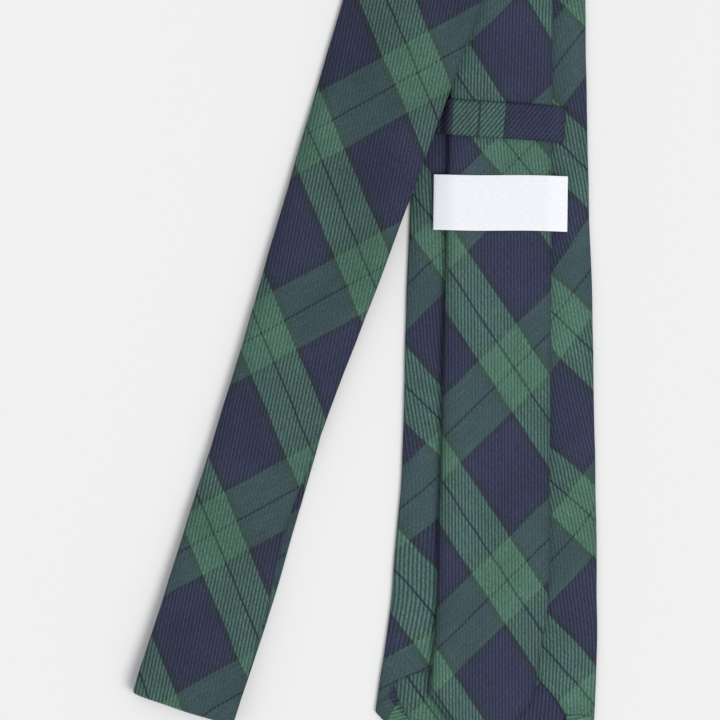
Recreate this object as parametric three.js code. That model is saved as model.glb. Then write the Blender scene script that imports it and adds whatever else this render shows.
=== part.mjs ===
// A self-tipped tartan necktie, folded flat for a shelf. Millimetres, +Z up.
//
// The tie is one long strip. A place on it is (s, e, h): s is the distance along the strip
// from the point of the wide end, e the distance to the right of its middle line, and h the
// height above its middle surface towards the tie's back. Every piece is extruded straight in
// those coordinates and then carried round the three folds by place().
//
// Layers from the table up: the wide end (back up), the narrow end (front up, threaded through
// the keeper loop and under the label), the return half of the neck, and the fore half of it.
import * as THREE from 'three';

// ---- driving dimensions ------------------------------------------------------------------

const WIDE_POINT_LENGTH = 37.5; // point of the wide end to its shoulders
const WIDE_SHOULDER = new THREE.Vector2(0, 0);
const TOP_FOLD = new THREE.Vector2(9.3, 351.2);
const NECK_FOLD = new THREE.Vector2(-102.4, 0.4);
const INNER_FOLD = new THREE.Vector2(7.5, 345.5);
const NARROW_END = new THREE.Vector2(1.9, -15.1);

const BLADE_THICKNESS = 2.8;
const NARROW_THICKNESS = 2.4;
const LAYER_GAP = 0.2;
const TAIL_LIFT = 0.8; // the narrow end rides this far above the wide end's back
const FORE_PUFF = 2.0; // how far the neck fold springs open

const SHELL_WALL = 0.5;
const SEAM_HALF_GAP = 0.55; // half the opening between the two flaps of the back seam
const HEM_WIDTH = 10; // turned hem along the edges of a point, measured across the tie
const WIDE_TACK_FROM_POINT = 66;
const NARROW_TACK_FROM_POINT = 42;
const NARROW_POINT_LENGTH = 21;
const WIDE_TIPPING_LENGTH = 92;
const NARROW_TIPPING_LENGTH = 62;
const INTERLINING_SETBACK = 4; // how far short of each point it ends
const TIPPING_SETBACK = 4.5;
const STITCH_SETBACK = 3; // between a bar tack and the start of the slip stitch
const FOLD_SPLIT = 0.15; // half the gap between the two bodies at the top fold
const INNER_SPLIT = 0.4;
const SEAM_SPLIT = 0.2; // half the gap between two sewn panels of the shell
const BLADE_NECK_SEAM = 850;
const NECK_TAIL_SEAM = 1180;

// sheets inside the shell: distance in from its edges, and heights above the middle surface
const INTERLINING = { inset: 1.4, low: -0.6, high: 0.1 };
const TIPPING = { inset: 1.8, low: 0.3, high: 0.6 };
const SLIP_STITCH = { halfWidth: 0.2, low: 0.95, high: 1.35 };
const BAR_TACK = { halfLength: 2.6, width: 1.4, lift: 0.2, thickness: 0.3 };

// straps across the narrow end; bridge is half the level part that clears it
const KEEPER = {
  x: 5.5, y: 203.6, turn: -4.1, length: 44, width: 12.4, thickness: 0.7, bridge: 17.6,
};
const LABEL = {
  x: 5.3, y: 175.3, turn: -0.7, length: 46, width: 19, thickness: 0.35, bridge: 17.8,
};
const STRAP_GAP = 0.25; // clear of what it lies on
const STRAP_RUN = 2.2; // from the end of the bridge down to the wide end
const KEEPER_STITCH = { inset: 0.9, size: [0.8, 9, 0.35] };
const LABEL_STITCH = { inset: 0.8, size: [0.5, 16.5, 0.3] };

// ---- the strip's length, edges and heights -----------------------------------------------

const S_TOP = WIDE_POINT_LENGTH + WIDE_SHOULDER.distanceTo(TOP_FOLD);
const S_NECK = S_TOP + TOP_FOLD.distanceTo(NECK_FOLD);
const S_INNER = S_NECK + NECK_FOLD.distanceTo(INNER_FOLD);
const S_END = S_INNER + INNER_FOLD.distanceTo(NARROW_END);

// distance from the middle line to the left and to the right edge, along the strip
const LEFT_EDGE = [
  [0, 1.6], [WIDE_POINT_LENGTH - 0.7, 37.6], [48, 36.5], [60, 34.9], [72, 33.4], [96, 32.1],
  [122, 30.6], [170, 30.8], [205, 30.5], [283, 28.1], [S_TOP, 25.2], [508, 23.3],
  [572, 22], [615, 20.7], [658, 20], [S_NECK, 19.8], [S_INNER, 16.4], [S_INNER + 144, 17.7],
  [S_END - 52, 19.3], [S_END - NARROW_POINT_LENGTH, 21.2], [S_END, 5.6],
];
const RIGHT_EDGE = [
  [0, 1.6], [WIDE_POINT_LENGTH - 2, 37.6], [50, 38.1], [64, 38.2], [84, 37.2], [108, 36.6],
  [133, 35.3], [170, 33.7], [196, 32.4], [222, 30.7], [283, 28.1], [S_TOP, 25.4], [493, 22.8],
  [581, 18.9], [625, 16.3], [667, 14.1], [681, 12.7], [694, 13.4], [714, 15.7], [S_NECK, 16.3],
  [S_NECK + 44, 16.8], [S_NECK + 82, 15.2], [S_NECK + 112, 14.2], [S_INNER, 16.4],
  [S_INNER + 144, 17.7], [S_END - 52, 19.3], [S_END - 36, 16.4], [S_END - 20, 14.2], [S_END, -2.4],
];
const THICKNESS = [
  [S_NECK + 8, BLADE_THICKNESS], [S_NECK + 45, NARROW_THICKNESS],
];
// underside of the folded-over half, by distance from the top fold: on the narrow end, down
// over the edge of the wide end, then on the table
const TAIL_TOP = BLADE_THICKNESS + TAIL_LIFT + NARROW_THICKNESS;
const OVER_HEIGHT = [
  [100, TAIL_TOP + LAYER_GAP], [150, TAIL_TOP - 0.1], [185, 3.6], [238, 0],
];
const OVER_PUFF = [[290, 0], [362, FORE_PUFF]];

function between(table, at) {
  const last = table.length - 1;
  if (at <= table[0][0]) return table[0][1];
  if (at >= table[last][0]) return table[last][1];
  const i = table.findIndex((key) => key[0] > at);
  const [a, va] = table[i - 1];
  const [b, vb] = table[i];
  return va + ((vb - va) * (at - a)) / (b - a);
}

const thickness = (s) => between(THICKNESS, s);
const foreMid = (s) => {
  const t = s - S_TOP;
  const below = between(OVER_HEIGHT, t) + NARROW_THICKNESS + LAYER_GAP;
  return below + BLADE_THICKNESS / 2 + between(OVER_PUFF, t);
};
// the return half starts this much short of the top fold, nested inside it
const SETBACK = (S_NECK - S_TOP) - (S_INNER - S_NECK);
const returnMid = (s) => between(OVER_HEIGHT, S_INNER + SETBACK - s) + thickness(s) / 2;
const tailMid = TAIL_TOP - NARROW_THICKNESS / 2;

// ---- folding the strip -------------------------------------------------------------------

function layer(start, end, startS, up, mid) {
  const along = end.clone().sub(start).normalize();
  const across = new THREE.Vector2(along.y, -along.x).multiplyScalar(up);
  const flat = (s, e) => start.clone().addScaledVector(along, s - startS)
    .addScaledVector(across, e);
  return { along, across, up, mid, flat };
}

const LAYERS = [
  layer(WIDE_SHOULDER, TOP_FOLD, WIDE_POINT_LENGTH, 1, () => BLADE_THICKNESS / 2),
  layer(TOP_FOLD, NECK_FOLD, S_TOP, -1, foreMid),
  layer(NECK_FOLD, INNER_FOLD, S_NECK, 1, returnMid),
  layer(INNER_FOLD, NARROW_END, S_INNER, -1, () => tailMid),
];

// side is +1 where the tie's back is inside the fold and -1 where its front is
function fold(index, at, point, side) {
  const [before, after] = [LAYERS[index], LAYERS[index + 1]];
  const radius = Math.abs(after.mid(at) - before.mid(at)) / 2;
  const out = before.along.clone().sub(after.along).normalize();
  const skew = -before.across.dot(out) / before.along.dot(out);
  return { at, point, side, radius, out, skew, half: (Math.PI * radius) / 2 };
}

const FOLDS = [
  fold(0, S_TOP, TOP_FOLD, 1),
  fold(1, S_NECK, NECK_FOLD, 1),
  fold(2, S_INNER, INNER_FOLD, -1),
];

function aroundFold(bend, from, point, reach, h) {
  const rise = from.up * bend.side;
  const centre = from.mid(bend.at) + rise * bend.radius;
  const angle = (reach + bend.half) / bend.radius;
  const r = bend.radius - bend.side * h;
  const shift = -bend.half + r * Math.sin(angle) - reach;
  const plan = point.clone().addScaledVector(bend.out, shift);
  return new THREE.Vector3(plan.x, plan.y, centre - rise * r * Math.cos(angle));
}

function place(s, e, h) {
  for (let i = 0; i < FOLDS.length; i += 1) {
    const point = LAYERS[i].flat(s, e);
    const reach = point.clone().sub(FOLDS[i].point).dot(FOLDS[i].out);
    if (reach < -FOLDS[i].half) return onLayer(LAYERS[i], point, s, h);
    if (reach <= FOLDS[i].half) return aroundFold(FOLDS[i], LAYERS[i], point, reach, h);
  }
  const tail = LAYERS[FOLDS.length];
  return onLayer(tail, tail.flat(s, e), s, h);
}

function onLayer(on, point, s, h) {
  return new THREE.Vector3(point.x, point.y, on.mid(s) + on.up * h);
}

// the cross lines of the strip lean to lie along an oblique fold, and along a diagonal seam
const SEAM_LEAN = 0.8;
const LEAN = [
  [S_TOP - 55, 0], [S_TOP - 14, FOLDS[0].skew], [S_TOP + 14, FOLDS[0].skew], [S_TOP + 55, 0],
  [BLADE_NECK_SEAM - 30, 0], [BLADE_NECK_SEAM, SEAM_LEAN], [BLADE_NECK_SEAM + 30, 0],
  [S_INNER - 55, 0], [S_INNER - 8, FOLDS[2].skew], [S_INNER + 8, FOLDS[2].skew],
  [S_INNER + 24, 0], [NECK_TAIL_SEAM, SEAM_LEAN], [NECK_TAIL_SEAM + 36, 0],
];

// ---- extruding along the strip -----------------------------------------------------------

const STEP = 30;
const ARC_STEPS = 6;

function stations(from, to) {
  const marks = new Set([from, to]);
  for (const table of [LEFT_EDGE, RIGHT_EDGE, LEAN]) {
    for (const [s] of table) marks.add(s);
  }
  for (const [t] of [...OVER_HEIGHT, ...OVER_PUFF]) {
    marks.add(S_TOP + t);
    marks.add(S_INNER + SETBACK - t);
  }
  for (const bend of FOLDS) {
    for (let i = 0; i <= ARC_STEPS; i += 1) {
      marks.add(bend.at - bend.half + (2 * bend.half * i) / ARC_STEPS);
    }
  }
  for (const s of [WIDE_TACK_FROM_POINT, HEM_WIDTH, S_END - NARROW_TACK_FROM_POINT]) marks.add(s);
  const sorted = [...marks].filter((s) => s >= from && s <= to).sort((a, b) => a - b);
  const kept = sorted.filter((s, i) => i === 0 || s === to || s - sorted[i - 1] > 0.05);
  const filled = [];
  kept.forEach((s, i) => {
    filled.push(s);
    const room = i + 1 < kept.length ? kept[i + 1] - s : 0;
    const extra = Math.floor(room / STEP);
    for (let k = 1; k <= extra; k += 1) filled.push(s + (room * k) / (extra + 1));
  });
  return filled;
}

// an extrusion of the outline, whose x is turned into e by across(s, x), swept along the strip
function sweep(outline, from, to, across) {
  const at = stations(from, to);
  const shape = new THREE.Shape(outline.map(([x, y]) => new THREE.Vector2(x, y)));
  const depth = at.length - 1;
  const body = new THREE.ExtrudeGeometry(shape, { depth, steps: depth, bevelEnabled: false });
  const points = body.getAttribute('position');
  for (let i = 0; i < points.count; i += 1) {
    const s = at[Math.round(points.getZ(i))];
    const e = across(s, points.getX(i));
    const h = (points.getY(i) * thickness(s)) / BLADE_THICKNESS;
    const p = place(s + between(LEAN, s) * e, e, h);
    points.setXYZ(i, p.x, p.y, p.z);
  }
  return facingOut(body);
}

function facingOut(body) {
  if (volume(body) < 0) {
    const p = body.getAttribute('position');
    for (let i = 0; i < p.count; i += 3) {
      const [x, y, z] = [p.getX(i), p.getY(i), p.getZ(i)];
      p.setXYZ(i, p.getX(i + 1), p.getY(i + 1), p.getZ(i + 1));
      p.setXYZ(i + 1, x, y, z);
    }
  }
  body.computeVertexNormals();
  return body;
}

function volume(body) {
  const p = body.getAttribute('position');
  const [a, b, c] = [new THREE.Vector3(), new THREE.Vector3(), new THREE.Vector3()];
  let sum = 0;
  for (let i = 0; i < p.count; i += 3) {
    sum += a.fromBufferAttribute(p, i)
      .dot(b.fromBufferAttribute(p, i + 1).cross(c.fromBufferAttribute(p, i + 2)));
  }
  return sum / 6;
}

// ---- the pieces of the strip -------------------------------------------------------------

const HALF = BLADE_THICKNESS / 2;
const NARROWEST_SHEET = 0.4;
const RIM = 100; // outline x beyond RIM / 2 is measured back from the edge of the strip

const middle = (s) => (between(RIGHT_EDGE, s) - between(LEFT_EDGE, s)) / 2;
const halfWidth = (s) => (between(RIGHT_EDGE, s) + between(LEFT_EDGE, s)) / 2;

// half the opening between the flaps: a closed seam, spreading below each bar tack to the
// shoulders, and closing again between the hems of the point
function flapGap(s) {
  const end = s < S_TOP ? s : S_END - s;
  const tack = s < S_TOP ? WIDE_TACK_FROM_POINT : NARROW_TACK_FROM_POINT;
  const shoulder = s < S_TOP ? WIDE_POINT_LENGTH : NARROW_POINT_LENGTH;
  const spread = halfWidth(s < S_TOP ? shoulder : S_END - shoulder) - HEM_WIDTH;
  const opening = between([[shoulder, spread], [tack, SEAM_HALF_GAP]], end);
  return Math.max(SEAM_HALF_GAP, Math.min(opening, halfWidth(s) - HEM_WIDTH));
}

function acrossShell(s, x) {
  const side = Math.sign(x);
  const inset = RIM - Math.abs(x);
  if (inset > RIM / 2) return middle(s) + side * flapGap(s);
  return middle(s) + side * Math.max(halfWidth(s) - inset, SEAM_HALF_GAP);
}

function acrossCore(s, x) {
  const room = halfWidth(s) - (RIM - Math.abs(x));
  return middle(s) + Math.sign(x) * Math.max(room, NARROWEST_SHEET);
}

const acrossSeam = (s, x) => middle(s) + x;

// one rolled edge of the shell: an arc in (x, h) from the back round to the front
function rolledEdge(side, radius, down) {
  const arc = [];
  for (let i = 0; i <= 4; i += 1) {
    const angle = (Math.PI / 2) * (1 - i / 2) * (down ? 1 : -1);
    arc.push([side * (RIM - HALF + radius * Math.cos(angle)), radius * Math.sin(angle)]);
  }
  return arc;
}

// a flattened tube open along the back seam
function shellOutline() {
  const inner = HALF - SHELL_WALL;
  return [
    [1, HALF], ...rolledEdge(1, HALF, true), ...rolledEdge(-1, HALF, false), [-1, HALF],
    [-1, inner], ...rolledEdge(-1, inner, true), ...rolledEdge(1, inner, false), [1, inner],
  ];
}

const bandOutline = (x, low, high) => [[x, low], [x, high], [-x, high], [-x, low]];
const sheetOutline = (sheet) => bandOutline(RIM - sheet.inset, sheet.low, sheet.high);

const shell = (from, to) => sweep(shellOutline(), from, to, acrossShell);
const interlining = (from, to) => sweep(sheetOutline(INTERLINING), from, to, acrossCore);
const tipping = (from, to) => sweep(sheetOutline(TIPPING), from, to, acrossCore);

function slipStitch(from, to) {
  const { halfWidth: x, low, high } = SLIP_STITCH;
  return sweep(bandOutline(x, low, high), from, to, acrossSeam);
}

// ---- pieces that lie across the strip ----------------------------------------------------

const SEAT = BLADE_THICKNESS + STRAP_GAP;
const OVER_TAIL = TAIL_TOP + STRAP_GAP;
const KNEE = 0.64; // the strap's steeper stretch starts this share of the way along its run

// a strap that is sewn down at both ends and arches over the narrow end
function archedStrap(spec) {
  const { thickness: t, bridge } = spec;
  const end = spec.length / 2;
  const knee = bridge + STRAP_RUN * KNEE;
  const foot = bridge + STRAP_RUN;
  const kneeHeight = OVER_TAIL - (OVER_TAIL - SEAT) * (1 - KNEE) * KNEE;
  const under = [[end, SEAT], [foot, SEAT], [knee, kneeHeight], [bridge, OVER_TAIL]];
  const over = [
    [bridge + t / 2, OVER_TAIL + t], [knee + t, kneeHeight + t / 2],
    [foot + t, SEAT + t], [end, SEAT + t],
  ];
  const mirror = (points) => points.map(([x, z]) => [-x, z]).reverse();
  const outline = [...under, ...mirror(under), ...mirror(over), ...over];
  const shape = new THREE.Shape(outline.map(([x, z]) => new THREE.Vector2(x, z)));
  const body = new THREE.ExtrudeGeometry(shape, { depth: spec.width, bevelEnabled: false });
  return body.rotateX(Math.PI / 2).translate(0, spec.width / 2, 0);
}

// a row of thread over the end of a strap
function endStitch(spec, side, { inset, size }) {
  const [along, across, height] = size;
  const bar = new THREE.BoxGeometry(along, across, height);
  const lift = SEAT + spec.thickness + LAYER_GAP + height / 2;
  return bar.translate(side * (spec.length / 2 - inset), 0, lift);
}

function laidAcross(name, body, material, spec) {
  const mesh = piece(name, body, material);
  mesh.position.set(spec.x, spec.y, 0);
  mesh.rotation.z = THREE.MathUtils.degToRad(spec.turn);
  return mesh;
}

// a short bar of thread across the back seam, on the tie's back
function barTack(s) {
  const low = HALF + BAR_TACK.lift;
  const outline = bandOutline(BAR_TACK.halfLength, low, low + BAR_TACK.thickness);
  return sweep(outline, s, s + BAR_TACK.width, acrossSeam);
}

// ---- materials ---------------------------------------------------------------------------

function cloth(color, roughness = 0.85) {
  return new THREE.MeshStandardMaterial({ color, roughness, metalness: 0 });
}

const tartan = () => cloth(0x2b4a4d, 0.8);
const canvas = () => cloth(0xd9d2c0, 0.95);
const navyThread = () => cloth(0x24284a, 0.7);
const satin = () => cloth(0xf2f2f2, 0.6);
const whiteThread = () => cloth(0xe9e9e9, 0.7);

function piece(name, body, material) {
  const mesh = new THREE.Mesh(body, material);
  mesh.name = name;
  return mesh;
}

// ---- assembly ----------------------------------------------------------------------------

const group = new THREE.Group();

function wideEnd() {
  const tack = WIDE_TACK_FROM_POINT;
  const fold = S_TOP - FOLD_SPLIT;
  group.add(piece('blade_shell', shell(0, fold), tartan()));
  group.add(piece('blade_interlining', interlining(INTERLINING_SETBACK, fold), canvas()));
  group.add(piece('blade_tipping', tipping(TIPPING_SETBACK, WIDE_TIPPING_LENGTH), tartan()));
  group.add(piece('blade_slip_stitch', slipStitch(tack + STITCH_SETBACK, fold), navyThread()));
  group.add(piece('blade_bar_tack', barTack(tack), navyThread()));
}

function neck() {
  const from = S_TOP + FOLD_SPLIT;
  const to = S_INNER - INNER_SPLIT;
  const seam = BLADE_NECK_SEAM;
  group.add(piece('blade_shell_upper', shell(from, seam - SEAM_SPLIT), tartan()));
  group.add(piece('neck_shell', shell(seam + SEAM_SPLIT, to), tartan()));
  group.add(piece('neck_interlining', interlining(from, to), canvas()));
  group.add(piece('neck_slip_stitch', slipStitch(from, to), navyThread()));
}

function narrowEnd() {
  const from = S_INNER + INNER_SPLIT;
  const seam = NECK_TAIL_SEAM;
  const tack = S_END - NARROW_TACK_FROM_POINT;
  const core = interlining(from, S_END - INTERLINING_SETBACK);
  const lining = tipping(S_END - NARROW_TIPPING_LENGTH, S_END - TIPPING_SETBACK);
  group.add(piece('neck_shell_lower', shell(from, seam - SEAM_SPLIT), tartan()));
  group.add(piece('tail_shell', shell(seam + SEAM_SPLIT, S_END), tartan()));
  group.add(piece('tail_interlining', core, canvas()));
  group.add(piece('tail_tipping', lining, tartan()));
  group.add(piece('tail_slip_stitch', slipStitch(from, tack - STITCH_SETBACK), navyThread()));
  group.add(piece('tail_bar_tack', barTack(tack - BAR_TACK.width), navyThread()));
}

function keeperAndLabel() {
  group.add(laidAcross('keeper_loop', archedStrap(KEEPER), tartan(), KEEPER));
  group.add(laidAcross('label', archedStrap(LABEL), satin(), LABEL));
  for (const [side, word] of [[-1, 'left'], [1, 'right']]) {
    const tack = endStitch(KEEPER, side, KEEPER_STITCH);
    group.add(laidAcross(`keeper_tack_${word}`, tack, navyThread(), KEEPER));
    const stitch = endStitch(LABEL, side, LABEL_STITCH);
    group.add(laidAcross(`label_stitch_${word}`, stitch, whiteThread(), LABEL));
  }
}

wideEnd();
neck();
narrowEnd();
keeperAndLabel();

export default group;
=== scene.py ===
"""The looks of a self-tipped tartan necktie, folded flat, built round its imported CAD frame.

The tie is one long strip. A place on it is (s, e, h): s runs along the strip from the point of
the wide end, e is the distance to the right of its middle line, and h the height above its
middle surface towards the tie's back. place() carries those coordinates round the three folds,
exactly as the CAD source does. Lengths are millimetres until a mesh is made.
"""

import math

import bpy
import numpy as np
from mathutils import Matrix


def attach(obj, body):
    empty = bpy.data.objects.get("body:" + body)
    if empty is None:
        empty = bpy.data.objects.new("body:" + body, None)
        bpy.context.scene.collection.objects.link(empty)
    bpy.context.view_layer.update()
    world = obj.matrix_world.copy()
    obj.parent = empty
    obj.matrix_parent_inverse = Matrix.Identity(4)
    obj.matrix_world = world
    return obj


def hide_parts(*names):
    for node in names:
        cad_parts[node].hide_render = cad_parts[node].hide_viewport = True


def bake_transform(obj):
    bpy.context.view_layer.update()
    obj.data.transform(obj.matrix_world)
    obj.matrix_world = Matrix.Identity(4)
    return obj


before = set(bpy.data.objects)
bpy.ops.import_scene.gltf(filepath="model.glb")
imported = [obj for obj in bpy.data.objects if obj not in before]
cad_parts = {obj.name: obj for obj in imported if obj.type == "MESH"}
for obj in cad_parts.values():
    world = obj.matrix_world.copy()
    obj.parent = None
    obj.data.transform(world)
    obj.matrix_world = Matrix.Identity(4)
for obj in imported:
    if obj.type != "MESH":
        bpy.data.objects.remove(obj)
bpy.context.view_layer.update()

MM = 0.001

# ---- driving dimensions, the same as the CAD source's --------------------------------------

POINT_LENGTH = 37.5
WIDE_SHOULDER = (0.0, 0.0)
TOP_FOLD = (9.3, 351.2)
NECK_FOLD = (-102.4, 0.4)
INNER_FOLD = (7.5, 345.5)
NARROW_END = (1.9, -15.1)

BLADE_THICKNESS = 2.8
NARROW_THICKNESS = 2.4
LAYER_GAP = 0.2
TAIL_LIFT = 0.8
FORE_PUFF = 2.0
BLADE_NECK_SEAM = 850.0
NECK_TAIL_SEAM = 1180.0
SEAM_LEAN = 0.8
WIDE_TACK = 66.0
NARROW_TACK = 42.0
NARROW_POINT_LENGTH = 20.0
KEEPER = {"x": 5.5, "y": 203.6, "turn": -4.1, "length": 44.0, "width": 12.4}
LABEL = {"x": 5.3, "y": 175.3, "turn": -0.7, "length": 46.0, "width": 19.0}

WALL = 0.45  # the cloth itself
TIP_ROUND = 1.6  # how far from each end the very tip starts to close
FLAP_EDGE_DROP = 0.32  # the flap's folded edge sinks this much
HEM = 9.6  # turned hem of a point, measured across the tie


def distance(a, b):
    return math.hypot(b[0] - a[0], b[1] - a[1])


S_TOP = POINT_LENGTH + distance(WIDE_SHOULDER, TOP_FOLD)
S_NECK = S_TOP + distance(TOP_FOLD, NECK_FOLD)
S_INNER = S_NECK + distance(NECK_FOLD, INNER_FOLD)
S_END = S_INNER + distance(INNER_FOLD, NARROW_END)
SETBACK = (S_NECK - S_TOP) - (S_INNER - S_NECK)

LEFT_EDGE = [
    (0, 1.6), (POINT_LENGTH - 0.7, 37.6), (48, 36.5), (60, 34.9), (72, 33.4), (96, 32.1),
    (122, 30.6), (170, 30.8), (205, 30.5), (283, 28.1), (S_TOP, 25.2), (508, 23.3),
    (572, 22), (615, 20.7), (658, 20), (S_NECK, 19.8), (S_INNER, 16.4),
    (S_INNER + 144, 17.7), (S_END - 52, 19.3), (S_END - 21, 21.2), (S_END, 5.6),
]
RIGHT_EDGE = [
    (0, 1.6), (POINT_LENGTH - 2, 37.6), (50, 38.1), (64, 38.2), (84, 37.2), (108, 36.6),
    (133, 35.3), (170, 33.7), (196, 32.4), (222, 30.7), (283, 28.1), (S_TOP, 25.4), (493, 22.8),
    (581, 18.9), (625, 16.3), (667, 14.1), (681, 12.7), (694, 13.4), (714, 15.7), (S_NECK, 16.3),
    (S_NECK + 44, 16.8), (S_NECK + 82, 15.2), (S_NECK + 112, 14.2), (S_INNER, 16.4),
    (S_INNER + 144, 17.7), (S_END - 52, 19.3), (S_END - 36, 16.4), (S_END - 20, 14.2),
    (S_END, -2.4),
]
THICKNESS = [(S_NECK + 8, BLADE_THICKNESS), (S_NECK + 45, NARROW_THICKNESS)]
TAIL_TOP = BLADE_THICKNESS + TAIL_LIFT + NARROW_THICKNESS
OVER_HEIGHT = [(100, TAIL_TOP + LAYER_GAP), (150, TAIL_TOP - 0.1), (185, 3.6), (238, 0)]
OVER_PUFF = [(290, 0), (362, FORE_PUFF)]
# the radius of the soft roll along both edges of the tie
EDGE_ROLL = [(S_INNER - 10, 0.78), (S_INNER + 12, 1.1)]
PAST_DROOP = [(20, 0), (90, 2.2), (150, 2.2), (230, 0.9), (290, 0)]

# how far from the middle line each flap's edge lies, by distance from the point
RIGHT_FLAP = [(35, 29.0), (43, 23.8), (50.6, 16.2), (58, 7.0), (64, 0.5)]
LEFT_FLAP = [
    (37, 27.6), (41, 30.1), (46, 32.1), (48.9, 30.9), (51.6, 19.3), (59, 9.6), (67, 0.5),
]
MITRE = (46.0, 32.1)  # where the left hem's mitre meets the flap's edge
POINT_TIP = 1.6  # half the blunt end of the wide point
POINT_SLOPE = (POINT_LENGTH - POINT_TIP) / POINT_LENGTH
NARROW_FLAP = [(18, 10.5), (24, 9), (NARROW_TACK, 0.5)]


# ---- smooth tables ---------------------------------------------------------------------------

TAPS = np.linspace(-1, 1, 9)
TAP_WEIGHTS = (1 + np.cos(math.pi * TAPS * 0.9)) / np.sum(1 + np.cos(math.pi * TAPS * 0.9))


def eased(table, at, reach):
    """The table's straight-line reading, rounded over reach on either side."""
    xs, ys = np.array(table, float).T
    reads = [w * np.interp(at + t * reach, xs, ys) for t, w in zip(TAPS, TAP_WEIGHTS)]
    return sum(reads)


def edge_reach(s):
    corners = (0, POINT_LENGTH, S_END - NARROW_POINT_LENGTH, S_END)
    nearest = np.min([np.abs(s - c) for c in corners], axis=0)
    return np.clip(0.5 * nearest, 0.8, 14)


def half_width(s):
    both = eased(LEFT_EDGE, s, edge_reach(s)) + eased(RIGHT_EDGE, s, edge_reach(s))
    return both / 2


def middle(s):
    return (eased(RIGHT_EDGE, s, edge_reach(s)) - eased(LEFT_EDGE, s, edge_reach(s))) / 2


def thickness(s):
    return eased(THICKNESS, s, 12)


def fore_mid(s):
    t = s - S_TOP
    below = eased(OVER_HEIGHT, t, 16) + NARROW_THICKNESS + LAYER_GAP
    return below + BLADE_THICKNESS / 2 + eased(OVER_PUFF, t, 16)


def return_mid(s):
    return eased(OVER_HEIGHT, S_INNER + SETBACK - s, 16) + thickness(s) / 2


def blade_mid(s):
    return np.full(np.shape(s), BLADE_THICKNESS / 2)


def tail_mid(s):
    return np.full(np.shape(s), TAIL_TOP - NARROW_THICKNESS / 2)


# ---- folding the strip -----------------------------------------------------------------------


class Layer:
    """A straight stretch of the strip, lying on the table or on other layers."""

    def __init__(self, start, end, start_s, up, mid):
        a, b = np.array(start, float), np.array(end, float)
        self.along = (b - a) / np.linalg.norm(b - a)
        self.across = np.array([self.along[1], -self.along[0]]) * up
        self.start, self.start_s, self.up, self.mid = a, start_s, up, mid

    def flat(self, s, e):
        return self.start + np.multiply.outer(s - self.start_s, self.along) + np.multiply.outer(
            e, self.across
        )


class Fold:
    """A U-turn between two layers. side is +1 where the tie's back is inside it."""

    def __init__(self, before, after, at, point, side):
        self.before, self.at, self.side = before, at, side
        self.point = np.array(point)
        mids = before.mid(np.array(at)), after.mid(np.array(at))
        self.radius = abs(float(mids[1] - mids[0])) / 2
        self.half = math.pi * self.radius / 2
        out = before.along - after.along
        self.out = out / np.linalg.norm(out)
        self.skew = -(before.across @ self.out) / (before.along @ self.out)
        self.rise = before.up * side
        self.centre = float(mids[0]) + self.rise * self.radius

    def around(self, point, reach, h):
        angle = (reach + self.half) / self.radius
        r = self.radius - self.side * h
        shift = -self.half + r * np.sin(angle) - reach
        plan = point + shift[:, None] * self.out
        return np.column_stack([plan, self.centre - self.rise * r * np.cos(angle)])


BLADE = Layer(WIDE_SHOULDER, TOP_FOLD, POINT_LENGTH, 1, blade_mid)
FORE = Layer(TOP_FOLD, NECK_FOLD, S_TOP, -1, fore_mid)
RETURN = Layer(NECK_FOLD, INNER_FOLD, S_NECK, 1, return_mid)
TAIL = Layer(INNER_FOLD, NARROW_END, S_INNER, -1, tail_mid)
OUTER_TURN = Fold(BLADE, FORE, S_TOP, TOP_FOLD, 1)
NECK_TURN = Fold(FORE, RETURN, S_NECK, NECK_FOLD, 1)
INNER_TURN = Fold(RETURN, TAIL, S_INNER, INNER_FOLD, -1)
COURSE = [(BLADE, OUTER_TURN), (FORE, NECK_TURN), (RETURN, INNER_TURN)]


def place(s, e, h):
    """Strip coordinates, as flat arrays, to points in the frame, in millimetres."""
    points = np.empty((len(s), 3))
    left = np.ones(len(s), bool)
    for layer, turn in COURSE:
        flat = layer.flat(s, e)
        reach = (flat - turn.point) @ turn.out
        lying = left & (reach < -turn.half)
        turning = left & ~lying & (reach <= turn.half)
        points[lying] = on_layer(layer, flat, s, h)[lying]
        points[turning] = turn.around(flat[turning], reach[turning], h[turning])
        left &= ~(lying | turning)
    points[left] = on_layer(TAIL, TAIL.flat(s, e), s, h)[left]
    return points


def on_layer(layer, flat, s, h):
    return np.column_stack([flat, layer.mid(s) + layer.up * h - droop(layer, flat, s)])


def droop(layer, flat, s):
    """How far the arm sags where it hangs over the wide end's left edge, and where the fore
    layer reaches past the layer under it."""
    if layer is BLADE or layer is TAIL:
        return 0
    x, y = flat.T
    t = s - S_TOP if layer is FORE else S_INNER + SETBACK - s
    left_edge = TOP_FOLD[0] * y / TOP_FOLD[1] - eased(LEFT_EDGE, POINT_LENGTH + y, 1)
    sag = eased(OVER_HEIGHT, t, 16) * smooth_step(left_edge - x, 4, 27)
    if layer is RETURN:
        return sag
    past = (TOP_FOLD[0] - x) * -layer.along[1] + (TOP_FOLD[1] - y) * layer.along[0]
    return sag + np.interp(t, *np.array(PAST_DROOP).T) * smooth_step(past, 17.5, 24)


# the rows of the mesh lean to lie along an oblique fold
FOLD_LEAN = [
    (S_TOP - 55, 0), (S_TOP - 14, OUTER_TURN.skew), (S_TOP + 14, OUTER_TURN.skew),
    (S_TOP + 55, 0), (S_INNER - 55, 0), (S_INNER - 9, INNER_TURN.skew),
    (S_INNER + 9, INNER_TURN.skew), (S_INNER + 34, 0),
]
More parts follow.
